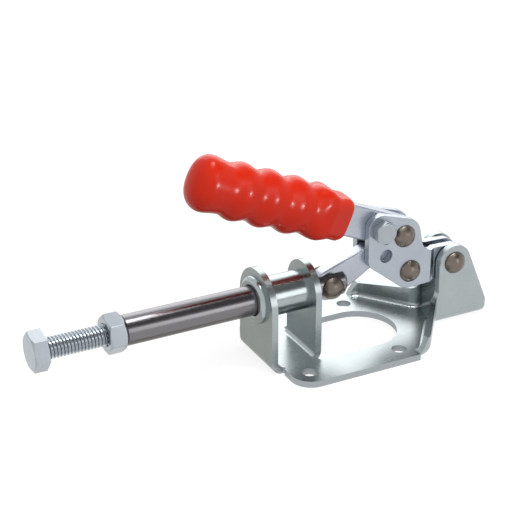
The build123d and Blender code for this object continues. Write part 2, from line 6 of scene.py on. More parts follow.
import bpy
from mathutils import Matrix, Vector


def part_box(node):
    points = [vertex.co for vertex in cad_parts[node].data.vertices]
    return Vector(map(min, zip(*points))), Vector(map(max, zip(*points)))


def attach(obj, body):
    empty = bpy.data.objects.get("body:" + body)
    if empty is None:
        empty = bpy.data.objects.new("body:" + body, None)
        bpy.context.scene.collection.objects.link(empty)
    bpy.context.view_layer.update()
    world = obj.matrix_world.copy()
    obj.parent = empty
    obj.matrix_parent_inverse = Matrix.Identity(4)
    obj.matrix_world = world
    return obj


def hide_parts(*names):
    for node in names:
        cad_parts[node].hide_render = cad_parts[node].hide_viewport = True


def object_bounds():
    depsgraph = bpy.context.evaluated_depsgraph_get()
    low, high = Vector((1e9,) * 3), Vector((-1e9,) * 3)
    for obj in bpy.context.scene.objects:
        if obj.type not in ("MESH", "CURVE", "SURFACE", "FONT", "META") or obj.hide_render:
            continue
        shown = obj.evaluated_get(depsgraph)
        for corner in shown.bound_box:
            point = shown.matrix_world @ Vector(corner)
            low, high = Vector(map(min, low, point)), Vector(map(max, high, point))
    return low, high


bl_info = {
    "name": "Toggle Clamp",
    "version": (1, 0, 0),
    "blender": (4, 5, 0),
    "location": "View3D > Sidebar > Toggle Clamp",
    "description": "Finishes a push-pull toggle clamp: plated sheet, plunger, rivets, threads and grip",
    "category": "Object",
}

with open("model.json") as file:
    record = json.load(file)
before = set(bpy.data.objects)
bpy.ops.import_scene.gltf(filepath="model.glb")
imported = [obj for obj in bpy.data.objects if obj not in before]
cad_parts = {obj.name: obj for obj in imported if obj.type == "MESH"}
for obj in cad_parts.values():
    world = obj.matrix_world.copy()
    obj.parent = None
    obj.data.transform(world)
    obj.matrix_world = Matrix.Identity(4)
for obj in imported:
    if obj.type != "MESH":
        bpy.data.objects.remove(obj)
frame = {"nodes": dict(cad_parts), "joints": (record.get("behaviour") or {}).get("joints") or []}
cad_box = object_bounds()

MM = 0.001
JOINTS = {joint["name"]: joint for joint in frame["joints"]}
AXIS_HEIGHT = JOINTS["handle_swing"]["pos_m"][2]    # the plunger's axis is level with the ears' pivot
AXIS_POINT = Vector((0, 0, AXIS_HEIGHT))
X = Vector((1, 0, 0))
Y = Vector((0, 1, 0))
Z = Vector((0, 0, 1))

# how finely the pieces are turned
SMOOTH_BELOW = math.radians(28)   # sharper edges stay edges
ROUND_STEPS = 72                  # rivets
FINE_STEPS = 96                   # hexagons and thread; six divides it, so corners stay corners
SMOOTH_STEPS = 128                # sleeve and grip
THREAD_RINGS = 12                 # rings of points per turn of the thread
WAVE_STEPS = 14                   # rings from a crest of the grip to the next valley
END_STEPS = 20                    # rings round the grip's end and over a rivet's head
FAR = 1.0                         # metres; beyond every piece

# small sizes of the turned pieces
CHAMFER_SHARE = 0.475             # radius of a hexagon's flat end, as a share of its width across flats
CHAMFER_ANGLE = math.radians(30)
THREAD_CLEARANCE = 0.05 * MM      # how far the crests stay below the screw's diameter
THREAD_ROOT = 0.25                # share of the half pitch that is the root's flat
THREAD_FLANK = 0.6                # share of the half pitch that is the flank
SPINDLE_TIP = 1.0 * MM            # chamfer of the thread's end
NUT_SINK = 0.5 * MM               # chamfer of the jam nut's bore
BOLT_TIP = 0.6 * MM               # chamfer of the handle bolt's end
SMALL_NUT_SINK = 0.4 * MM         # chamfer of the handle nut's bore
SMALL_NUT_GAP = 0.02 * MM         # between the handle bolt and its nut
RIVET_RIM = 0.35 * MM             # upright rim of a rivet's head
RIM_CHAMFER = 0.1 * MM
FORK_GAP = 6.1 * MM               # slot of the plunger's fork
RUNNING = 0.05 * MM               # clearance of the plunger in its sleeve


def centre_of(node):
    """Middle of a CAD node's box."""
    low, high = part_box(node)
    return (low + high) / 2


def span_of(node):
    """Size of a CAD node's box."""
    low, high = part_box(node)
    return high - low


def linear(hex_colour):
    """sRGB hex colour, such as "#A0A8B0", as linear RGBA."""
    parts = [int(hex_colour[i:i + 2], 16) / 255 for i in (1, 3, 5)]
    return tuple(c / 12.92 if c <= 0.04045 else ((c + 0.055) / 1.055) ** 2.4 for c in parts) + (1.0,)


# ---------------------------------------------------------------- what a user would change

def colour_property(name, description, hex_colour):
    """Colour that is written as sRGB hex."""
    return bpy.props.FloatVectorProperty(name=name, description=description, subtype="COLOR", size=4,
                                         min=0.0, max=1.0, default=linear(hex_colour))


def angle_property(name, description, degrees):
    """Angle that is written in degrees."""
    return bpy.props.FloatProperty(name=name, description=description, subtype="ANGLE", unit="ROTATION",
                                   default=math.radians(degrees))


def length_property(name, description, millimetres):
    """Length that is written in millimetres."""
    return bpy.props.FloatProperty(name=name, description=description, subtype="DISTANCE", unit="LENGTH",
                                   min=0.0, default=millimetres * MM)


def share_property(name, description, share):
    """Share of something, from 0 to 1."""
    return bpy.props.FloatProperty(name=name, description=description, subtype="FACTOR", min=0.0, max=1.0,
                                   default=share)


def number_property(name, description, value):
    """Plain number."""
    return bpy.props.FloatProperty(name=name, description=description, min=0.0, default=value)


def power_property(name, description, watts):
    """Power of a lamp in watts."""
    return bpy.props.FloatProperty(name=name, description=description, unit="POWER", min=0.0, default=watts)


class SteelSettings(bpy.types.PropertyGroup):
    """Colours and edges of the metal."""
    zinc: colour_property("Zinc", "Blue-white passivated zinc plating on rolled sheet", "#AFB6BF")
    zinc_base: colour_property("Base zinc", "Plating on the base and the sleeve, a little greener", "#AAB2B4")
    zinc_bar: colour_property("Zinc on bar", "Zinc plating on the blanked link and handle bar", "#B6BBC6")
    sheared: colour_property("Sheared edge", "Cut wall of the sheet, where the plating is thin", "#A3A9AC")
    burnished: colour_property("Burnished steel", "Turned and burnished plunger", "#777578")
    rivet: colour_property("Rivet steel", "Cold-headed rivets, warm grey", "#7C736B")
    fastener: colour_property("Fastener zinc", "Zinc plating on screw, nuts and bolt", "#A6ADB3")
    sheet_edge: length_property("Sheet edge", "Rounding of the stamped sheet's edges", 0.6)
    bar_edge: length_property("Bar edge", "Rounding of the flat bars' edges", 0.3)
    fastener_edge: length_property("Fastener edge", "Rounding of the nuts' and bolts' edges", 0.12)
    plunger_edge: length_property("Plunger edge", "Rounding of the plunger's and the fork's edges", 0.2)
    bush_edge: length_property("Bush edge", "Rounding of the ear bush's edges", 0.1)


class ThreadSettings(bpy.types.PropertyGroup):
    """The spindle: a metric coarse screw with a hexagon head."""
    diameter: length_property("Diameter", "Over the thread's crests", 8.0)
    pitch: length_property("Pitch", "Pitch of the rolled thread", 1.25)
    depth: length_property("Depth", "Height of the thread from root to crest", 0.72)
    flats: length_property("Across flats", "Width of the head and the jam nut", 13.0)
    head: length_property("Head height", "Height of the hexagon head", 5.3)
    head_turn: angle_property("Head turn", "Angle of the head's upper corner from upright", 21)
    nut_turn: angle_property("Nut turn", "Angle of the jam nut's upper corner from upright", 15)


class TurnedSettings(bpy.types.PropertyGroup):
    """The guide sleeve and the rivets."""
    sleeve: length_property("Sleeve", "Outer diameter of the guide sleeve", 15.0)
    roll: share_property("Collar roll", "Rounded share of the collar's length", 0.8)
    mouth: share_property("Mouth", "Rounding of the sleeve's mouth, as a share of the collar's", 0.55)
    swage: length_property("Swage", "Length of the lip that holds the sleeve at its rear", 1.2)
    swage_lip: length_property("Swage lip", "How far the rear lip stands out of the sleeve", 0.9)
    swage_round: length_property("Swage round", "Rounding of the rear lip", 0.7)
    swage_chamfer: length_property("Swage chamfer", "Chamfer of the rear lip's front", 0.2)
    shank: length_property("Rivet", "Diameter of the rivets in plates and fork", 5.0)
    ear_shank: length_property("Ear rivet", "Diameter of the rivet through the ears", 6.0)
    rivet_head: length_property("Rivet head", "Height of the rivets' round heads", 3.0)


class BoltSettings(bpy.types.PropertyGroup):
    """The handle bolt and its nut."""
    diameter: length_property("Diameter", "Diameter of the handle bolt", 5.0)
    flats: length_property("Across flats", "Width of the bolt's head and nut", 8.0)
    head: length_property("Head height", "Height of the bolt's head", 3.5)


class GripSettings(bpy.types.PropertyGroup):
    """The moulded grip; distances are measured from the plate rivet along the handle."""
    red: colour_property("Red", "Glossy red vinyl, moulded over the bar", "#E02C12")
    rise: angle_property("Rise", "Angle of the handle above the plunger's axis", 23.5)
    rear: length_property("Rear", "Distance of the grip's rear edge", 26.0)
    rear_corner: length_property("Rear corner", "Rounding of the rear edge", 1.7)
    rear_drop: length_property("Rear drop", "How much lower the rear edge is than the lip", 0.5)
    rear_width: length_property("Rear width", "Half-width of the grip at its rear edge", 5.5)
    rear_taper: number_property("Rear taper", "How fast the half-width grows from the rear edge", 0.2865)
    lip_at: length_property("Lip at", "Distance of the lip next to the rear edge", 28.5)
    lip: length_property("Lip", "Half-height of the grip at the lip", 8.5)
    dip_at: length_property("Dip at", "Distance of the shallow dip before the first ridge", 32.6)
    dip: length_property("Dip", "Half-height of the grip in the dip", 8.3)
    ridges: bpy.props.IntProperty(name="Ridges", description="Crests beyond the first, with the bulb's",
                                  min=1, default=4)
    first_ridge: length_property("First ridge", "Distance of the first ridge", 38.6)
    pitch: length_property("Ridge pitch", "From one finger ridge to the next", 11.5)
    ridge_top: length_property("Ridge top", "Half-height of the grip at a ridge", 10.7)
    ridge_drop: length_property("Ridge drop", "How much lower the first ridge is", 0.6)
    valley: length_property("Valley", "Half-height of the grip between ridges", 9.35)
    flatness: share_property("Flatness", "Width of the grip's section over its height", 0.8)
    cheek_crest: length_property("Cheek crest", "Distance of the first shallow wave on the cheeks", 37.4)
    cheek_ripple: length_property("Cheek ripple", "Rise of the shallow waves on the cheeks", 0.33)
    box_until: length_property("Box until", "Distance where the boxy rear end starts to round", 33.0)
    oval_from: length_property("Oval from", "Distance where the section is a plain oval", 44.0)
    box_power: number_property("Box power", "Squareness of the section at the rear; 2 is an ellipse", 5.0)
    oval_power: number_property("Oval power", "Squareness of the section beyond it; 2 is an ellipse", 2.3)
    bulb_from: length_property("Bulb from", "Distance where the bulb starts to swell", 76.0)
    bulb_at: length_property("Bulb at", "Distance of the bulb's crest", 86.0)
    bulb: length_property("Bulb", "Half-height of the bulb at the end", 10.2)
    bulb_lift: share_property("Bulb lift", "Share by which the bulb is higher on top and lower below", 0.024)
    tip: length_property("Tip", "Distance of the grip's end", 92.4)
    tip_power: number_property("Tip power", "Shape of the end; below 1 it is fuller than an ellipse", 0.92)


class StudioSettings(bpy.types.PropertyGroup):
    """Lamps and backdrop round the clamp."""
    overhead: power_property("Overhead", "Power of the overhead softbox", 2.1)
    front: power_property("Front", "Power of the front softbox", 4.8)
    background: colour_property("Background", "Floor and backdrop", "#FFFFFF")


# ---------------------------------------------------------------- node and mesh helpers

def add_node(tree, kind, settings=None, links=None):
    """Adds a node to a tree: settings are properties or socket values, links name a socket and its source."""
    made = tree.nodes.new(kind)
    for key, value in (settings or {}).items():
        if isinstance(key, str) and hasattr(made, key):
            setattr(made, key, value)
        else:
            made.inputs[key].default_value = value
    for key, source in (links or {}).items():
        tree.links.new(source, made.inputs[key])
    return made


def new_material(name):
    """An empty material with an output; returns the material and its tree."""
    material = bpy.data.materials.new(name)
    material.use_nodes = True
    material.node_tree.nodes.clear()
    return material, material.node_tree


def finish_material(tree, surface):
    """Joins a shader to the material's output."""
    add_node(tree, "ShaderNodeOutputMaterial", links={"Surface": surface})


def spun(name, origin, along, up, profiles, steps):
    """Mesh of profiles turned about a line.

    A profile gives, for an angle from up, its (along, radius) points. One that starts on the line is closed
    by poles at its ends; any other is a ring with a bore.
    """
    side = along.cross(up)
    verts = []
    faces = []
    for profile in profiles:
        ring = profile(0.0)[0][1] > 0
        poles = {}
        columns = []
        for j in range(steps):
            angle = 2 * math.pi * j / steps
            outward = math.cos(angle) * up + math.sin(angle) * side
            column = []
            for i, (a, r) in enumerate(profile(angle)):
                if r == 0 and i in poles:
                    column.append(poles[i])
                    continue
                verts.append(origin + a * along + r * outward)
                column.append(len(verts) - 1)
                if r == 0:
                    poles[i] = len(verts) - 1
            columns.append(column)
        rows = len(columns[0])
        for here, there in zip(columns, columns[1:] + columns[:1]):
            for i in range(rows if ring else rows - 1):
                k = (i + 1) % rows
                quad = [here[i], here[k], there[k], there[i]]
                faces.append([v for n, v in enumerate(quad) if v not in quad[:n]])
    mesh = bpy.data.meshes.new(name)
    mesh.from_pydata(verts, [], faces)
    mesh.validate()
    piece = bpy.data.objects.new(name, mesh)
    bpy.context.scene.collection.objects.link(piece)
    turn_outwards(mesh)
    mesh.shade_smooth()
    mesh.set_sharp_from_angle(angle=SMOOTH_BELOW)
    return piece


def all_round(points):
    """Profile that is the same at every angle."""
    return lambda angle: points


def turn_outwards(mesh):
    """Makes a closed mesh's faces point outwards."""
    volume = 0.0
    for face in mesh.polygons:
        corners = [mesh.vertices[i].co for i in face.vertices]
        for b, c in zip(corners[1:], corners[2:]):
            volume += corners[0].dot(b.cross(c))
    if volume < 0:
        mesh.flip_normals()


def arc(centre, radius, start, stop, steps):
    """(along, radius) points on an arc; angles in degrees, 0 along the line and 90 away from it."""
    points = []
    for step in range(steps + 1):
        turn = math.radians(start + (stop - start) * step / steps)
        points.append((centre[0] + radius * math.cos(turn), centre[1] + radius * math.sin(turn)))
    return points


def hexagon_radius(angle, flats):
    """Distance from a hexagon's middle to its edge; angle 0 is a corner."""
    return flats / 2 / math.cos(angle % (math.pi / 3) - math.pi / 6)


def hexagon_side(angle, flats, low, high, chamfer_low, chamfer_high):
    """Points up a hexagon's side, with a chamfer where one is asked for."""
    r = hexagon_radius(angle, flats)
    flat_r = CHAMFER_SHARE * flats
    drop = (r - flat_r) * math.tan(CHAMFER_ANGLE)
    points = [(low, flat_r), (low + drop, r)] if chamfer_low else [(low, r)]
    return points + ([(high - drop, r), (high, flat_r)] if chamfer_high else [(high, r)])


def away_from_line(point, origin, along):
    """The part of point - origin that is square to the line."""
    offset = point - origin
    return offset - offset.dot(along) * along


def corner_direction(node, origin, along):
    """Direction from a line to the farthest corner of a CAD node, such as a hexagon's."""
    corners = [away_from_line(v.co, origin, along) for v in frame["nodes"][node].data.vertices]
    return max(corners, key=lambda c: c.length).normalized()


def leaning(angle):
    """Upright direction, leaned about the plunger's axis towards the far side (+Y)."""
    return math.cos(angle) * Z + math.sin(angle) * Y


def place(piece, body, material, node):
    """Gives a new piece its material and its CAD body, and hides the node that it stands for."""
    piece.data.materials.append(material)
    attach(piece, body)
    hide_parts(node)


def soften(piece, edge, segments=2):
    """Rounds a piece's sharp edges with modifiers, and keeps its flats flat."""
    bevel = piece.modifiers.new("edge", "BEVEL")
    bevel.width = edge
    bevel.segments = segments
    bevel.limit_method = "ANGLE"
    bevel.angle_limit = SMOOTH_BELOW
    shading = piece.modifiers.new("shading", "WEIGHTED_NORMAL")
    shading.mode = "FACE_AREA"
    shading.weight = 100


def dress(node, material, edge, segments=2):
    """Gives a CAD node its material; modifiers join its faces and round its edges."""
    piece = frame["nodes"][node]
    piece.data.materials.clear()
    piece.data.materials.append(material)
    piece.data.shade_smooth()
    weld = piece.modifiers.new("weld", "WELD")
    weld.merge_threshold = 1e-6
    flats = piece.modifiers.new("flats", "DECIMATE")
    flats.decimate_type = "DISSOLVE"
    flats.angle_limit = math.radians(0.3)
    soften(piece, edge, segments)


# ---------------------------------------------------------------- materials

def zinc_plate(name, colour, roughness, sheared=None):
    """Blue-white passivated zinc over rolled steel: satin, with faint rolling grain and cloudy patches."""
    material, tree = new_material(name)
    place_at = add_node(tree, "ShaderNodeTexCoord")
    # patches of the passivation, about 9 mm across
    clouds = add_node(tree, "ShaderNodeTexNoise",
                      settings={"Scale": 1 / (9 * MM), "Detail": 3.0, "Roughness": 0.55},
                      links={"Vector": place_at.outputs["Object"]})
    tint = add_node(tree, "ShaderNodeMixRGB", settings={"Color1": colour, "Color2": shade(colour, 0.82)},
                    links={"Fac": clouds.outputs["Fac"]})
    # rolling lines of about 0.1 mm, drawn at 0.45 mm so that they show
    grain_space = add_node(tree, "ShaderNodeMapping", settings={"Scale": (0.12, 1.0, 1.0)},
                           links={"Vector": place_at.outputs["Object"]})
    grain = add_node(tree, "ShaderNodeTexNoise",
                     settings={"Scale": 1 / (0.45 * MM), "Detail": 4.0, "Roughness": 0.6},
                     links={"Vector": grain_space.outputs["Vector"]})
    rough = add_node(tree, "ShaderNodeMapRange",
                     settings={"From Min": 0.3, "From Max": 0.7, "To Min": roughness - 0.015,
                               "To Max": roughness + 0.03},
                     links={"Value": grain.outputs["Fac"]})
    bump = add_node(tree, "ShaderNodeBump", settings={"Strength": 0.012, "Distance": 0.05 * MM},
                    links={"Height": grain.outputs["Fac"]})
    colour_out, rough_out = tint.outputs["Color"], rough.outputs["Result"]
    if sheared is not None:
        edge = sheared_edge_mask(tree, place_at)
        rougher_cut = 0.2
        cut = add_node(tree, "ShaderNodeMixRGB", settings={"Color2": sheared},
                       links={"Fac": edge, "Color1": colour_out})
        colour_out = cut.outputs["Color"]
        duller = add_node(tree, "ShaderNodeMath", settings={"operation": "MULTIPLY_ADD", 1: rougher_cut},
                          links={0: edge, 2: rough_out})
        rough_out = duller.outputs["Value"]
    shader = add_node(tree, "ShaderNodeBsdfPrincipled", settings={"Metallic": 1.0},
                      links={"Base Color": colour_out, "Roughness": rough_out,
                             "Normal": bump.outputs["Normal"]})
    finish_material(tree, shader.outputs["BSDF"])
    return material


def shade(colour, share):
    """A linear colour made darker."""
    return tuple(c * share for c in colour[:3]) + (1.0,)


def sheared_edge_mask(tree, place_at):
    """1 on the upright cut walls of the flat base sheet, and 0 elsewhere."""
    sheet_top = 2.4 * MM
    upright_below = 0.2    # rise of a face's normal
    where = add_node(tree, "ShaderNodeSeparateXYZ", links={"Vector": place_at.outputs["Object"]})
    facing = add_node(tree, "ShaderNodeNewGeometry")
    lean = add_node(tree, "ShaderNodeSeparateXYZ", links={"Vector": facing.outputs["True Normal"]})
    steep = add_node(tree, "ShaderNodeMath", settings={"operation": "ABSOLUTE"}, links={0: lean.outputs["Z"]})
    wall = add_node(tree, "ShaderNodeMath", settings={"operation": "LESS_THAN", 1: upright_below},
                    links={0: steep.outputs["Value"]})
    low = add_node(tree, "ShaderNodeMath", settings={"operation": "LESS_THAN", 1: sheet_top},
                   links={0: where.outputs["Z"]})
    both = add_node(tree, "ShaderNodeMath", settings={"operation": "MULTIPLY"},
                    links={0: wall.outputs["Value"], 1: low.outputs["Value"]})
    return both.outputs["Value"]


def plated_fastener(name, colour, roughness):
    """Barrel-plated zinc on turned and headed parts: satin, with 4 mm cloudy patches and no rolling grain."""
    material, tree = new_material(name)
    place_at = add_node(tree, "ShaderNodeTexCoord")
    clouds = add_node(tree, "ShaderNodeTexNoise", settings={"Scale": 1 / (4 * MM), "Detail": 2.0},
                      links={"Vector": place_at.outputs["Object"]})
    tint = add_node(tree, "ShaderNodeMixRGB", settings={"Color1": colour, "Color2": shade(colour, 0.88)},
                    links={"Fac": clouds.outputs["Fac"]})
    shader = add_node(tree, "ShaderNodeBsdfPrincipled", settings={"Metallic": 1.0, "Roughness": roughness},
                      links={"Base Color": tint.outputs["Color"]})
    finish_material(tree, shader.outputs["BSDF"])
    return material


def burnished_steel(name, colour):
    """Turned and burnished rod: dark, with clear reflections and fine rings round it."""
    material, tree = new_material(name)
    place_at = add_node(tree, "ShaderNodeTexCoord")
    rings_space = add_node(tree, "ShaderNodeMapping", settings={"Scale": (1.0, 0.02, 0.02)},
                           links={"Vector": place_at.outputs["Object"]})
    # turning marks of about 0.1 mm, drawn at 0.5 mm so that they show
    rings = add_node(tree, "ShaderNodeTexNoise", settings={"Scale": 1 / (0.5 * MM), "Detail": 3.0},
                     links={"Vector": rings_space.outputs["Vector"]})
    rough = add_node(tree, "ShaderNodeMapRange",
                     settings={"From Min": 0.3, "From Max": 0.7, "To Min": 0.16, "To Max": 0.25},
                     links={"Value": rings.outputs["Fac"]})
    bump = add_node(tree, "ShaderNodeBump", settings={"Strength": 0.04, "Distance": 0.03 * MM},
                    links={"Height": rings.outputs["Fac"]})
    shader = add_node(tree, "ShaderNodeBsdfPrincipled", settings={"Metallic": 1.0, "Base Color": colour},
                      links={"Roughness": rough.outputs["Result"], "Normal": bump.outputs["Normal"]})
    finish_material(tree, shader.outputs["BSDF"])
    return material


def headed_steel(name, colour, roughness):
    """Cold-headed rivet steel: warm grey, softly polished by the snap tool, with stains of 2 mm."""
    material, tree = new_material(name)
    place_at = add_node(tree, "ShaderNodeTexCoord")
    stain = add_node(tree, "ShaderNodeTexNoise", settings={"Scale": 1 / (2.0 * MM), "Detail": 5.0},
                     links={"Vector": place_at.outputs["Object"]})
    tint = add_node(tree, "ShaderNodeMixRGB", settings={"Color1": colour, "Color2": shade(colour, 0.75)},
                    links={"Fac": stain.outputs["Fac"]})
    rough = add_node(tree, "ShaderNodeMapRange",
                     settings={"From Min": 0.35, "From Max": 0.65, "To Min": roughness - 0.05,
                               "To Max": roughness + 0.08},
                     links={"Value": stain.outputs["Fac"]})
    shader = add_node(tree, "ShaderNodeBsdfPrincipled", settings={"Metallic": 1.0},
                      links={"Base Color": tint.outputs["Color"], "Roughness": rough.outputs["Result"]})
    finish_material(tree, shader.outputs["BSDF"])
    return material


def moulded_vinyl(name, colour):
    """Glossy vinyl moulding: even red, a smooth skin with soft highlights and very shallow orange peel."""
    material, tree = new_material(name)
    place_at = add_node(tree, "ShaderNodeTexCoord")
    # orange peel of about 2.5 mm, and slow clouds of 14 mm where the melt flowed
    peel = add_node(tree, "ShaderNodeTexNoise", settings={"Scale": 1 / (2.5 * MM), "Detail": 2.0},
                    links={"Vector": place_at.outputs["Object"]})
    bump = add_node(tree, "ShaderNodeBump", settings={"Strength": 0.03, "Distance": 0.1 * MM},
                    links={"Height": peel.outputs["Fac"]})
    flow = add_node(tree, "ShaderNodeTexNoise", settings={"Scale": 1 / (14 * MM), "Detail": 2.0},
                    links={"Vector": place_at.outputs["Object"]})
    tint = add_node(tree, "ShaderNodeMixRGB", settings={"Color1": colour, "Color2": shade(colour, 0.88)},
                    links={"Fac": flow.outputs["Fac"]})
    shader = add_node(tree, "ShaderNodeBsdfPrincipled",
                      settings={"Roughness": 0.2, "Specular IOR Level": 0.16},
                      links={"Base Color": tint.outputs["Color"], "Normal": bump.outputs["Normal"]})
    finish_material(tree, shader.outputs["BSDF"])
    return material


# finishes of several pieces: what makes each, the settings that hold its colours, and its roughness
FINISHES = {
    "zinc_plated_sheet": (zinc_plate, {"colour": "zinc_base", "sheared": "sheared"}, 0.28),
    "zinc_plated_plate": (zinc_plate, {"colour": "zinc"}, 0.28),
    "zinc_plated_bar": (zinc_plate, {"colour": "zinc_bar"}, 0.28),
    "zinc_plated_tube": (zinc_plate, {"colour": "zinc_base"}, 0.22),
    "zinc_plated_fastener": (plated_fastener, {"colour": "fastener"}, 0.26),
    "cold_headed_rivet_steel": (headed_steel, {"colour": "rivet"}, 0.34),
}


def finish(context, name):
    """The finish of that name, made on first use."""
    if name not in bpy.data.materials:
        make, colours, roughness = FINISHES[name]
        steel = context.scene.toggle_clamp_steel
        make(name, roughness=roughness, **{key: tuple(getattr(steel, held)) for key, held in colours.items()})
    return bpy.data.materials[name]


# ---------------------------------------------------------------- pieces

class CLAMP_OT_sheet(bpy.types.Operator):
    """Plated sheet: the folded base and the two side plates"""
    bl_idname = "clamp.sheet"
    bl_label = "Plate the sheet parts"

    def execute(self, context):
        edge = context.scene.toggle_clamp_steel.sheet_edge
        dress("base_frame", finish(context, "zinc_plated_sheet"), edge, segments=3)
        for side in ("left", "right"):
            dress(f"side_plate_{side}", finish(context, "zinc_plated_plate"), edge, segments=3)
        return {"FINISHED"}


class CLAMP_OT_bars(bpy.types.Operator):
    """Flat bars: the bent link and the handle bar"""
    bl_idname = "clamp.bars"
    bl_label = "Plate the bars"

    def execute(self, context):
        edge = context.scene.toggle_clamp_steel.bar_edge
        for node in ("link", "handle_bar"):
            dress(node, finish(context, "zinc_plated_bar"), edge)
        return {"FINISHED"}


class CLAMP_OT_sleeve(bpy.types.Operator):
    """Guide sleeve with its rolled collar and swaged lip"""
    bl_idname = "clamp.sleeve"
    bl_label = "Turn the guide sleeve"

    def execute(self, context):
        turned = context.scene.toggle_clamp_turned
        low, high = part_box("guide_sleeve")
        bore = span_of("plunger").z / 2 + RUNNING
        collar_r = (high.z - low.z) / 2
        tube_r = turned.sleeve / 2
        collar_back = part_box("base_frame")[0].x
        roll = (collar_back - low.x) * turned.roll
        mouth = roll * turned.mouth
        swage_front = high.x - turned.swage
        swage_r = tube_r + turned.swage_lip
        chamfer = turned.swage_chamfer
        rounding = turned.swage_round

        outline = arc((low.x + mouth, bore + mouth), mouth, 270, 180, steps=6)
        outline += arc((low.x + roll, collar_r - roll), roll, 180, 90, steps=10)
        outline += [(collar_back, collar_r), (collar_back, tube_r), (swage_front, tube_r)]
        outline += [(swage_front, swage_r - chamfer), (swage_front + chamfer, swage_r)]
        outline += arc((high.x - rounding, swage_r - rounding), rounding, 90, 0, steps=5)
        outline.append((high.x, bore))
        piece = spun("turned_sleeve", AXIS_POINT, X, Z, [all_round(outline)], SMOOTH_STEPS)
        place(piece, "frame", finish(context, "zinc_plated_tube"), "guide_sleeve")
        return {"FINISHED"}


class CLAMP_OT_plunger(bpy.types.Operator):
    """Burnished plunger rod with its fork"""
    bl_idname = "clamp.plunger"
    bl_label = "Burnish the plunger"

    def execute(self, context):
        steel = context.scene.toggle_clamp_steel
        burnished = burnished_steel("burnished_plunger_steel", tuple(steel.burnished))
        dress("plunger", burnished, steel.plunger_edge)
        return {"FINISHED"}


class CLAMP_OT_spindle(bpy.types.Operator):
    """Hexagon-headed spindle with a rolled thread, and its jam nut"""
    bl_idname = "clamp.spindle"
    bl_label = "Roll the spindle's thread"

    def execute(self, context):
        thread = context.scene.toggle_clamp_thread
        low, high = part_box("spindle_screw")
        seat = low.x + thread.head
        crest = thread.diameter / 2 - THREAD_CLEARANCE
        rings = int((high.x - seat) / thread.pitch * THREAD_RINGS)

        def screw(angle):
            """Hexagon head, then the thread, which is one pitch further along for each turn."""
            points = [(low.x, 0.0)] + hexagon_side(angle, thread.flats, low.x, seat, True, False)
            points.append((seat, crest - thread.depth))
            for ring in range(1, rings + 1):
                x = seat + (high.x - seat) * ring / rings
                turns = ring / THREAD_RINGS - angle / (2 * math.pi)
                up_flank = min(max((abs(2 * (turns % 1) - 1) - THREAD_ROOT) / THREAD_FLANK, 0.0), 1.0)
                height = up_flank * up_flank * (3 - 2 * up_flank)
                points.append((x, min(crest - thread.depth * (1 - height), crest - SPINDLE_TIP + high.x - x)))
            return points + [(high.x, 0.0)]

        piece = spun("threaded_spindle", AXIS_POINT, X, leaning(thread.head_turn), [screw], FINE_STEPS)
        place(piece, "spindle", finish(context, "zinc_plated_fastener"), "spindle_screw")

        nut_low, nut_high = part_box("jam_nut")
        bore = thread.diameter / 2

        def nut(angle):
            """Hexagon, chamfered at both ends, with a bore that is chamfered too."""
            points = [(nut_low.x + NUT_SINK, bore), (nut_low.x, bore + NUT_SINK)]
            points += hexagon_side(angle, thread.flats, nut_low.x, nut_high.x, True, True)
            return points + [(nut_high.x, bore + NUT_SINK), (nut_high.x - NUT_SINK, bore)]

        piece = spun("spindle_jam_nut", AXIS_POINT, X, leaning(thread.nut_turn), [nut], FINE_STEPS)
        soften(piece, context.scene.toggle_clamp_steel.fastener_edge)
        place(piece, "jam_nut", finish(context, "zinc_plated_fastener"), "jam_nut")
        return {"FINISHED"}


class CLAMP_OT_rivets(bpy.types.Operator):
    """Round-headed rivets, and the bush that the handle turns on"""
    bl_idname = "clamp.rivets"
    bl_label = "Head the rivets"

    def execute(self, context):
        rivet = context.scene.toggle_clamp_turned
        for node, body, gap in (("ear_rivet", "frame", 0.0), ("plate_rivet", "handle", 0.0),
                                ("link_rivet", "handle", 0.0), ("plunger_rivet", "plunger", FORK_GAP)):
            low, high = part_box(node)
            head_r = (high.x - low.x) / 2
            seat = high.y - rivet.rivet_head
            shank = (rivet.ear_shank if node == "ear_rivet" else rivet.shank) / 2
            origin = Vector(((low.x + high.x) / 2, 0, (low.z + high.z) / 2))
            dome = headed(seat, high.y, head_r)
            half = [(seat, shank)] + dome
            # a stud on each side of the fork's slot, or one rivet from side to side
            if gap:
                right = [(gap / 2, 0.0), (gap / 2, shank)] + half
                halves = [right, [(-y, r) for y, r in right]]
            else:
                halves = [[(-y, r) for y, r in reversed(half)] + half]
            piece = spun(f"round_head_{node}", origin, Y, Z, [all_round(h) for h in halves], ROUND_STEPS)
            place(piece, body, finish(context, "cold_headed_rivet_steel"), node)
        dress("ear_bush", finish(context, "zinc_plated_fastener"), context.scene.toggle_clamp_steel.bush_edge)
        return {"FINISHED"}


def headed(seat, top, head_r):
    """Dome of a snapped rivet head, from its rim to its middle: a short upright rim, then a round cap."""
    rise = top - seat - RIVET_RIM
    ball_r = (head_r ** 2 + rise ** 2) / (2 * rise)
    reach = math.degrees(math.asin(head_r / ball_r))
    cap = arc((top - ball_r, 0.0), ball_r, reach, 0, END_STEPS)
    return [(seat, head_r - RIM_CHAMFER), (seat + RIM_CHAMFER, head_r)] + cap[:-1] + [(top, 0.0)]


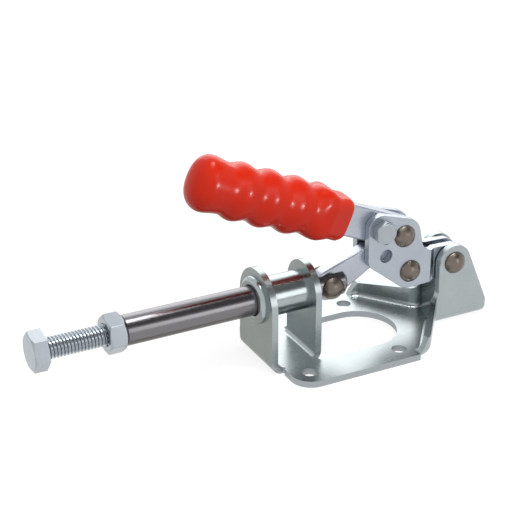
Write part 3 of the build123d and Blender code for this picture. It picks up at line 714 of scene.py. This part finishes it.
class CLAMP_OT_handle_bolt(bpy.types.Operator):
    """Handle bolt with its split washer and nut"""
    bl_idname = "clamp.handle_bolt"
    bl_label = "Plate the handle bolt"

    def execute(self, context):
        bolt = context.scene.toggle_clamp_bolt
        edge = context.scene.toggle_clamp_steel.fastener_edge
        zinc = finish(context, "zinc_plated_fastener")
        low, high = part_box("handle_bolt")
        origin = Vector(((low.x + high.x) / 2, 0, (low.z + high.z) / 2))
        seat = low.y + bolt.head
        shank = bolt.diameter / 2
        bore = shank + SMALL_NUT_GAP

        def headed_bolt(angle):
            """Hexagon head, then a plain shank with a chamfered end."""
            points = [(low.y, 0.0)] + hexagon_side(angle, bolt.flats, low.y, seat, True, False)
            points += [(seat, shank), (high.y - BOLT_TIP, shank), (high.y, shank - BOLT_TIP)]
            return points + [(high.y, 0.0)]

        piece = spun("hexagon_handle_bolt", origin, Y, Z, [headed_bolt], FINE_STEPS)
        soften(piece, edge)
        place(piece, "handle", zinc, "handle_bolt")

        nut_low, nut_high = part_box("handle_nut")

        def nut(angle):
            """Hexagon, chamfered at both ends, with a bore that is chamfered where it shows."""
            points = [(nut_low.y, bore)] + hexagon_side(angle, bolt.flats, nut_low.y, nut_high.y, True, True)
            return points + [(nut_high.y, shank + SMALL_NUT_SINK), (nut_high.y - SMALL_NUT_SINK, bore)]

        corner = corner_direction("handle_nut", origin, Y)
        piece = spun("hexagon_handle_nut", origin, Y, corner, [nut], FINE_STEPS)
        soften(piece, edge)
        place(piece, "handle", zinc, "handle_nut")
        dress("lock_washer", zinc, edge)
        return {"FINISHED"}


class CLAMP_OT_grip(bpy.types.Operator):
    """Moulded red grip with finger ridges and a bulb"""
    bl_idname = "clamp.grip"
    bl_label = "Mould the grip"

    def execute(self, context):
        grip = context.scene.toggle_clamp_grip
        along = Vector((-math.cos(grip.rise), 0, math.sin(grip.rise)))
        up = Vector((math.sin(grip.rise), 0, math.cos(grip.rise)))
        origin = centre_of("plate_rivet")
        origin.y = 0
        piece = spun("moulded_grip", origin, along, up, [grip_skin(grip, finger_waves(grip))], SMOOTH_STEPS)
        place(piece, "handle", moulded_vinyl("moulded_red_vinyl", tuple(grip.red)), "grip")
        shine_only_on(card(*GRIP_WINDOW, centre_of("grip")), piece)
        return {"FINISHED"}


def finger_waves(grip):
    """(distance from the plate rivet, half-height) at each crest and valley of the grip, in metres."""
    waves = [(grip.lip_at, grip.lip), (grip.dip_at, grip.dip)]
    waves.append((grip.first_ridge, grip.ridge_top - grip.ridge_drop))
    for ridge in range(1, grip.ridges + 1):
        crest = grip.first_ridge + ridge * grip.pitch
        waves.append((crest - grip.pitch / 2, grip.valley))
        waves.append((crest, grip.ridge_top))
    waves[-1] = (grip.bulb_at, grip.bulb)
    return waves


def grip_stations(grip, waves):
    """(distance, half-height) of the grip's rings: its rounded rear edge, its waves and its end."""
    edge = grip.lip - grip.rear_drop
    stations = []
    for degrees in range(90, 0, -15):
        turn = math.radians(degrees)
        stations.append((grip.rear + grip.rear_corner * (1 - math.sin(turn)),
                         edge - grip.rear_corner * (1 - math.cos(turn))))
    for (x0, h0), (x1, h1) in zip(waves, waves[1:]):
        for step in range(WAVE_STEPS):
            share = step / WAVE_STEPS
            stations.append((x0 + share * (x1 - x0), h0 + (h1 - h0) * (1 - math.cos(math.pi * share)) / 2))
    for step in range(END_STEPS):
        turn = math.pi / 2 * step / END_STEPS
        stations.append((grip.bulb_at + (grip.tip - grip.bulb_at) * math.sin(turn) ** grip.tip_power,
                         grip.bulb * math.cos(turn) ** grip.tip_power))
    return stations


def grip_skin(grip, waves):
    """Profile of the grip: strong ridges above and below, shallow ones on the cheeks, round at its tip.

    Its section is nearly a box at the rear edge, where it meets the bar, and an oval beyond.
    """
    stations = grip_stations(grip, waves)
    # how much of each feature there is at a distance
    rippled = [(0.0, 0.0), (grip.box_until, 0.0), (grip.oval_from, 1.0), (grip.bulb_from, 1.0),
               (grip.bulb_at, 0.0), (FAR, 0.0)]
    rounded = [(0.0, 0.0), (grip.box_until, 0.0), (grip.oval_from, 1.0), (FAR, 1.0)]
    lifted = [(0.0, 0.0), (grip.bulb_from, 0.0), (grip.bulb_at, 1.0), (FAR, 1.0)]
    middle = (grip.valley + grip.ridge_top) / 2

    def skin(angle):
        """Superellipse whose half-height and half-width change from ring to ring."""
        points = [(grip.rear, 0.0)]
        for x, height in stations:
            swell = fade(lifted, x)
            ripple = grip.cheek_ripple * math.cos(2 * math.pi * (x - grip.cheek_crest) / grip.pitch)
            width = grip.flatness * (middle + swell * (height - middle)) + fade(rippled, x) * ripple
            width = min(width, grip.rear_width + grip.rear_taper * (x - grip.rear))
            height *= 1 + grip.bulb_lift * swell * math.cos(angle)
            power = grip.box_power + (grip.oval_power - grip.box_power) * fade(rounded, x)
            reach = abs(math.cos(angle) / height) ** power + abs(math.sin(angle) / width) ** power
            points.append((x, reach ** (-1 / power)))
        return points + [(grip.tip, 0.0)]

    return skin


def fade(stops, x):
    """Value at x between (x, value) stops, easing from one to the next."""
    for (x0, v0), (x1, v1) in zip(stops, stops[1:]):
        if x0 <= x <= x1:
            return v0 + (v1 - v0) * (1 - math.cos(math.pi * (x - x0) / (x1 - x0))) / 2
    return stops[-1][1]


# ---------------------------------------------------------------- studio

CAMERA_PLACE = Vector((-263.743, -453.133, 287.881)) * MM
CAMERA_AZIMUTH = math.radians(-27.266)
CAMERA_ELEVATION = math.radians(25.674)
CAMERA_LENS = 111.08
SENSOR = 36.0

LIGHT_GREY = 0.65                 # strength of the world as light; where it is seen it is 1
FLOOR_HALF = 3.0
FLOOR_GAP = 0.02 * MM             # below the clamp
FLOOR_PAPER = (0.3, 0.3, 0.3, 1.0)
FLOOR_LIFT = 0.8                  # glow that lifts the paper to white where it is seen

# lamps and cards stand on a sphere round what they face:
# name, azimuth and elevation in degrees, distance, width and height in metres; a card also has its strength
OVERHEAD_LAMP = ("overhead_lamp", 10, 82, 0.9, 0.32, 0.32)
FRONT_SOFTBOX = ("front_softbox", 25, 30, 1.2, 0.9, 0.5)
CARDS = (
    ("dark_flag", 52, 49, 1.0, 1.0, 0.72, 0.16),
    ("overhead_window", 80, 84, 0.9, 0.36, 0.36, 12.0),
    ("front_strip", 25, 13, 1.0, 0.3, 0.46, 2.8),
    ("back_bounce", 152, 27, 1.1, 1.3, 0.84, 2.7),
)
GRIP_WINDOW = ("low_window", 25, -10, 0.3, 0.04, 0.04, 60.0)

# card on the floor that paints the clamp's shadow where reflections see the floor near it: its corners and
# its height above the floor's level in millimetres, and its strength
FLOOR_PAINTED_SHADOW = ("floor_shade", (-75, -15), (-28, 85), 0.1, 0.66)
FLOOR_PAINTED_SHADOW_TINT = "#FFFCF4"


def add_camera():
    """Level camera that looks down at the clamp from its working end (-X) and its side (-Y)."""
    data = bpy.data.cameras.new("camera")
    data.lens = CAMERA_LENS
    data.sensor_width = SENSOR
    data.clip_start = 0.01
    camera = bpy.data.objects.new("camera", data)
    bpy.context.scene.collection.objects.link(camera)
    camera.rotation_mode = "XYZ"
    camera.rotation_euler = (math.pi / 2 - CAMERA_ELEVATION, 0, CAMERA_AZIMUTH)
    camera.location = CAMERA_PLACE
    bpy.context.scene.camera = camera


def direction(azimuth, elevation):
    """Unit vector from the clamp: azimuth 0 points to the front (-Y) and 90 to +X."""
    a, e = math.radians(azimuth), math.radians(elevation)
    return Vector((math.sin(a) * math.cos(e), -math.cos(a) * math.cos(e), math.sin(e)))


def aimed(obj, place_at, target):
    """Puts a lamp or card at a place, facing the target."""
    obj.location = place_at
    obj.rotation_mode = "QUATERNION"
    obj.rotation_quaternion = (target - place_at).to_track_quat("-Z", "Y")


def softbox(name, azimuth, elevation, distance, width, height, power, target):
    """Area lamp; neither the camera nor reflections see it, and the cards stand in for it."""
    data = bpy.data.lights.new(name, "AREA")
    data.shape = "RECTANGLE"
    data.size = width
    data.size_y = height
    data.energy = power
    lamp = bpy.data.objects.new(name, data)
    bpy.context.scene.collection.objects.link(lamp)
    aimed(lamp, target + distance * direction(azimuth, elevation), target)
    lamp.visible_camera = False
    lamp.visible_glossy = False


def glowing(name, corners, colour, strength):
    """Flat panel that only reflections see."""
    mesh = bpy.data.meshes.new(name)
    mesh.from_pydata(corners, [], [(0, 1, 2, 3)])
    panel = bpy.data.objects.new(name, mesh)
    bpy.context.scene.collection.objects.link(panel)
    material, tree = new_material(name)
    glow = add_node(tree, "ShaderNodeEmission", settings={"Color": colour, "Strength": strength})
    finish_material(tree, glow.outputs["Emission"])
    mesh.materials.append(material)
    for ray in ("camera", "diffuse", "transmission", "shadow", "volume_scatter"):
        setattr(panel, f"visible_{ray}", False)
    return panel


def card(name, azimuth, elevation, distance, width, height, strength, target):
    """Dark, grey or bright card that faces the clamp, as a studio's flag, window or bounce."""
    w, h = width / 2, height / 2
    panel = glowing(name, [(-w, -h, 0), (w, -h, 0), (w, h, 0), (-w, h, 0)], (1, 1, 1, 1), strength)
    aimed(panel, target + distance * direction(azimuth, elevation), target)
    return panel


def shine_only_on(panel, piece):
    """Keeps a card's reflection to one piece."""
    receivers = bpy.data.collections.new(f"{panel.name}_receivers")
    receivers.objects.link(piece)
    panel.light_linking.receiver_collection = receivers


def painted_floor_shadow(name, low, high, level, strength):
    """Warm grey card that lies on the floor between two corners: a painted shadow of the clamp, seen only in
    reflections.
    """
    corners = [(low[0], low[1]), (high[0], low[1]), (high[0], high[1]), (low[0], high[1])]
    glowing(name, [Vector((x, y, level)) * MM for x, y in corners], linear(FLOOR_PAINTED_SHADOW_TINT), strength)


def seen_directly(tree):
    """1 for camera, glossy and transmission rays, so that metal shows the white background too."""
    rays = add_node(tree, "ShaderNodeLightPath")
    first = add_node(tree, "ShaderNodeMath", settings={"operation": "ADD"},
                     links={0: rays.outputs["Is Camera Ray"], 1: rays.outputs["Is Glossy Ray"]})
    both = add_node(tree, "ShaderNodeMath", settings={"operation": "ADD", "use_clamp": True},
                    links={0: first.outputs["Value"], 1: rays.outputs["Is Transmission Ray"]})
    return both.outputs["Value"]


def add_world(colour):
    """White where it is seen, soft grey as light."""
    world = bpy.data.worlds.new("studio")
    bpy.context.scene.world = world
    world.use_nodes = True
    tree = world.node_tree
    tree.nodes.clear()
    level = add_node(tree, "ShaderNodeMapRange", settings={"To Min": LIGHT_GREY, "To Max": 1.0},
                     links={"Value": seen_directly(tree)})
    glow = add_node(tree, "ShaderNodeBackground", settings={"Color": colour},
                    links={"Strength": level.outputs["Result"]})
    add_node(tree, "ShaderNodeOutputWorld", links={"Surface": glow.outputs["Background"]})


def add_floor(colour):
    """Pale floor that keeps the clamp's shadow and is lifted to white where it is seen."""
    mesh = bpy.data.meshes.new("floor")
    half, low = FLOOR_HALF, cad_box[0].z - FLOOR_GAP
    mesh.from_pydata([(-half, -half, low), (half, -half, low), (half, half, low), (-half, half, low)], [],
                     [(0, 1, 2, 3)])
    floor = bpy.data.objects.new("floor", mesh)
    bpy.context.scene.collection.objects.link(floor)
    material, tree = new_material("white_paper_floor")
    paper = add_node(tree, "ShaderNodeBsdfDiffuse", settings={"Color": FLOOR_PAPER})
    lift = add_node(tree, "ShaderNodeEmission", settings={"Color": colour, "Strength": FLOOR_LIFT})
    dark = add_node(tree, "ShaderNodeEmission", settings={"Strength": 0.0})
    seen = add_node(tree, "ShaderNodeMixShader", links={0: seen_directly(tree), 1: dark.outputs["Emission"],
                                                        2: lift.outputs["Emission"]})
    both = add_node(tree, "ShaderNodeAddShader", links={0: paper.outputs["BSDF"], 1: seen.outputs["Shader"]})
    finish_material(tree, both.outputs["Shader"])
    mesh.materials.append(material)


class CLAMP_OT_studio(bpy.types.Operator):
    """Floor, lamps, cards and camera"""
    bl_idname = "clamp.studio"
    bl_label = "Set up the studio"

    def execute(self, context):
        studio = context.scene.toggle_clamp_studio
        context.scene.view_settings.view_transform = "Standard"
        target = (cad_box[0] + cad_box[1]) / 2
        add_world(tuple(studio.background))
        add_floor(tuple(studio.background))
        softbox(*OVERHEAD_LAMP, studio.overhead, target)
        softbox(*FRONT_SOFTBOX, studio.front, target)
        for panel in CARDS:
            card(*panel, target)
        # painted shadow of the clamp on the floor, which only reflections see
        painted_floor_shadow(*FLOOR_PAINTED_SHADOW)
        add_camera()
        return {"FINISHED"}


class CLAMP_PT_panel(bpy.types.Panel):
    """Lists the clamp's pieces and their settings"""
    bl_idname = "CLAMP_PT_panel"
    bl_label = "Toggle Clamp"
    bl_space_type = "VIEW_3D"
    bl_region_type = "UI"
    bl_category = "Toggle Clamp"

    def draw(self, context):
        for group in SETTINGS:
            settings = getattr(context.scene, group)
            box = self.layout.box()
            for prop in settings.bl_rna.properties:
                if not prop.is_readonly:
                    box.prop(settings, prop.identifier)
        for step in STEPS:
            self.layout.operator(step.bl_idname)


SETTINGS = {
    "toggle_clamp_steel": SteelSettings,
    "toggle_clamp_thread": ThreadSettings,
    "toggle_clamp_turned": TurnedSettings,
    "toggle_clamp_bolt": BoltSettings,
    "toggle_clamp_grip": GripSettings,
    "toggle_clamp_studio": StudioSettings,
}
STEPS = (CLAMP_OT_studio, CLAMP_OT_sheet, CLAMP_OT_bars, CLAMP_OT_sleeve, CLAMP_OT_plunger, CLAMP_OT_spindle,
         CLAMP_OT_rivets, CLAMP_OT_handle_bolt, CLAMP_OT_grip)


def register():
    """Registers the classes and hangs the settings on the scene."""
    for cls in (*SETTINGS.values(), *STEPS, CLAMP_PT_panel):
        bpy.utils.register_class(cls)
    for name, cls in SETTINGS.items():
        setattr(bpy.types.Scene, name, bpy.props.PointerProperty(type=cls))


def unregister():
    """Takes the settings and the classes off again."""
    for name in SETTINGS:
        delattr(bpy.types.Scene, name)
    for cls in (CLAMP_PT_panel, *reversed(STEPS), *SETTINGS.values()):
        bpy.utils.unregister_class(cls)


def main():
    """Makes every piece."""
    register()
    for step in STEPS:
        area, action = step.bl_idname.split(".")
        getattr(getattr(bpy.ops, area), action)()


if __name__ == "__main__":
    main()
